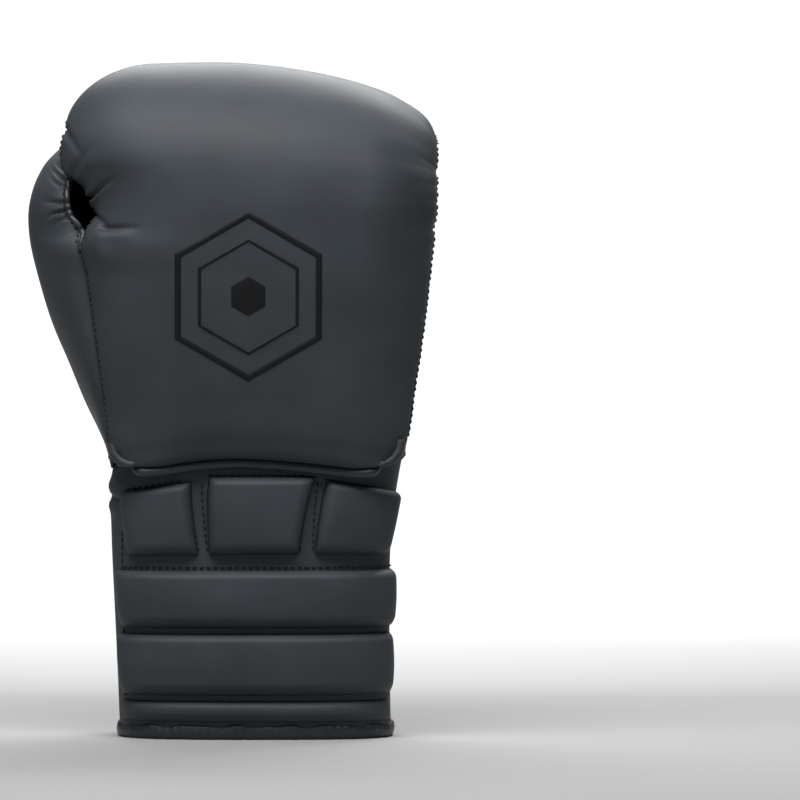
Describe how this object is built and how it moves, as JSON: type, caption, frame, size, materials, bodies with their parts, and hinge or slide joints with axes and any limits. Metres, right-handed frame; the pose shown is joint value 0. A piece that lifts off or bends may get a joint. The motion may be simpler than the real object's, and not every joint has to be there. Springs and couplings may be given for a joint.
{
  "type": "boxing glove",
  "caption": "Lace-up boxing glove for the right hand, padded fist with an attached thumb, laced cuff with sewn wrist pads, matte dark leather.",
  "frame": {"origin": "centre of the cuff's mouth, in the plane of its rim", "axes": "+Z from the cuff's mouth to the knuckles, -Y the back of the hand, +Y the palm and the laces, -X the thumb, +X the little finger"},
  "size_m": [0.2, 0.152, 0.33],
  "materials": {
    "glove_leather": "matte",
    "piping_leather": "satin",
    "stay_leather": "matte",
    "grip_leather": "matte",
    "lace_cotton": "matte",
    "lining_cloth": "matte",
    "foam": "matte"
  },
  "bodies": {
    "cuff": {"cuff_back_leather": "glove_leather", "cuff_flap_thumb_side": "glove_leather", "cuff_flap_little_side": "glove_leather", "lace_stay_thumb_side": "stay_leather", "lace_stay_little_side": "stay_leather", "slit_piping_thumb_side": "piping_leather", "slit_piping_little_side": "piping_leather", "cuff_foam": "foam", "cuff_lining": "lining_cloth", "rim_binding": "piping_leather", "wrist_pad_thumb_side": "glove_leather", "wrist_pad_centre": "glove_leather", "wrist_pad_little_side": "glove_leather", "wrist_roll_upper": "glove_leather", "wrist_roll_middle": "glove_leather", "wrist_roll_lower": "glove_leather", "lace": "lace_cotton", "lace_knot": "lace_cotton"},
    "fist": {"main_leather": "glove_leather", "knuckle_foam_outer": "foam", "knuckle_foam_inner": "foam", "side_leather_little": "glove_leather", "side_leather_thumb": "glove_leather", "side_foam_thumb": "foam", "side_foam_little": "foam", "palm_leather": "glove_leather", "palm_stay": "stay_leather", "palm_foam": "foam", "slit_piping_palm": "piping_leather", "hand_lining": "lining_cloth", "grip_bar": "grip_leather"},
    "thumb": {"thumb_leather_outer": "glove_leather", "thumb_leather_inner": "glove_leather", "thumb_foam": "foam", "thumb_lining": "lining_cloth", "thumb_lock": "glove_leather"}
  },
  "joints": [
    {"name": "wrist_flex", "type": "hinge", "parent": "cuff", "child": "fist", "pos_m": [0, 0, 0.1275], "axis": [1, 0, 0], "range_deg": [-10, 8], "stiffness_Nm_per_rad": 8, "deforming": ["lace"]},
    {"name": "thumb_swing", "type": "hinge", "parent": "fist", "child": "thumb", "pos_m": [-0.077, -0.016, 0.19], "axis": [-0.124, 0, 0.9923], "range_deg": [-3, 12], "stiffness_Nm_per_rad": 1}
  ]
}
